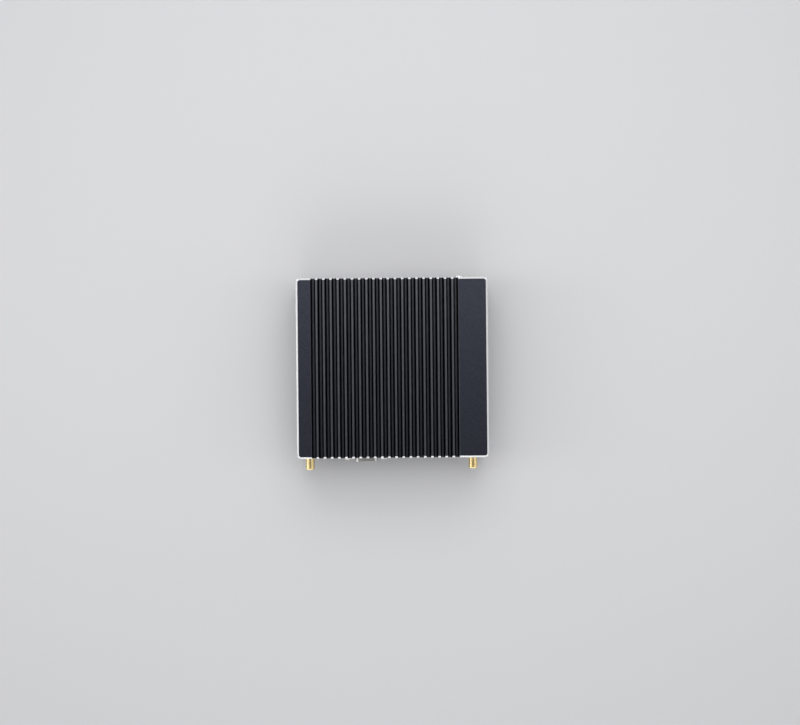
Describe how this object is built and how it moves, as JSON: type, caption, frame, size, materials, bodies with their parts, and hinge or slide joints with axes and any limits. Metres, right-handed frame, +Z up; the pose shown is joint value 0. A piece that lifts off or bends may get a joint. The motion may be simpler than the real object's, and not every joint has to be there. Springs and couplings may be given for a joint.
{
  "type": "mini pc",
  "caption": "Flat fanless computer in a dark finned aluminium case with a bright-cut top edge, antenna jacks and sockets at the rear, and a power button in front.",
  "frame": {"origin": "centre of the wall-mount hole pattern, on the underside of the bottom cover", "axes": "+Z up through the fins, +Y towards the rear panel with the antenna jacks, so +X is on the right of somebody looking at the rear from behind"},
  "size_m": [0.134, 0.137, 0.04],
  "materials": {
    "case_metal": "fine bead-blasted, dark blue-grey anodised, top edge cut bright",
    "panel_metal": "satin black anodised",
    "cover_metal": "bead-blasted, near-black anodised",
    "foot_rubber": "matt",
    "screw_steel": "black oxide",
    "inner_steel": "nickel plated",
    "connector_steel": "satin nickel plated",
    "button_metal": "turned bright",
    "bezel_metal": "satin chrome",
    "black_plastic": "moulded",
    "switch_post_plastic": "moulded",
    "circuit_board": "solder-resist coated",
    "clear_plastic": "clear moulded",
    "blue_plastic": "moulded",
    "vga_plastic": "moulded",
    "light_plastic": "moulded, translucent",
    "gold_plate": "gold plated",
    "white_insulation": "turned",
    "lead_jacket": "smooth",
    "chip_package": "laminate with bare silicon",
    "pad_compound": "soft",
    "copper": "milled",
    "ferrite": "pressed",
    "can_aluminium": "drawn"
  },
  "bodies": {
    "case": {"main_housing": "case_metal", "front_panel": "panel_metal", "rear_panel": "panel_metal", "bottom_cover": "cover_metal", "rubber_feet": "foot_rubber", "cover_screws": "screw_steel", "front_panel_screws": "screw_steel", "rear_panel_screws": "screw_steel", "board_screws": "inner_steel", "power_button_bezel": "bezel_metal", "power_switch": "black_plastic", "switch_board": "circuit_board", "light_pipes": "clear_plastic", "usb_shells": "connector_steel", "usb_inserts": "black_plastic", "usb_tongues_blue": "blue_plastic", "usb_tongues_black": "black_plastic", "audio_jacks": "black_plastic", "power_inlet": "black_plastic", "power_inlet_pin": "inner_steel", "vga_shell": "connector_steel", "vga_insert": "vga_plastic", "vga_jackscrews": "connector_steel", "hdmi_shell": "connector_steel", "hdmi_tongue": "black_plastic", "lan_shells": "connector_steel", "lan_inserts": "black_plastic", "lan_lights": "light_plastic", "lan_contacts": "gold_plate", "antenna_jack_left": "gold_plate", "antenna_jack_right": "gold_plate", "antenna_nuts": "gold_plate", "antenna_insulators": "white_insulation", "antenna_contacts": "gold_plate", "antenna_lead_left": "lead_jacket", "antenna_lead_right": "lead_jacket", "motherboard": "circuit_board", "processor": "chip_package", "thermal_pad": "pad_compound", "heat_block": "copper", "memory_socket": "black_plastic", "memory_module": "circuit_board", "card_sockets": "black_plastic", "card_latches": "black_plastic", "storage_card": "circuit_board", "radio_card": "circuit_board", "coin_cell": "inner_steel", "battery_holder": "black_plastic", "power_coils": "ferrite", "capacitor_cans": "can_aluminium", "lan_filters": "black_plastic"},
    "power_button": {"power_button": "button_metal", "switch_post": "switch_post_plastic"}
  },
  "joints": [
    {"name": "power_button_press", "type": "slide", "parent": "case", "child": "power_button", "axis": [0, 1, 0], "range_m": [0, 0.0006], "stiffness_N_per_m": 2500, "springref_m": -0.0004}
  ]
}
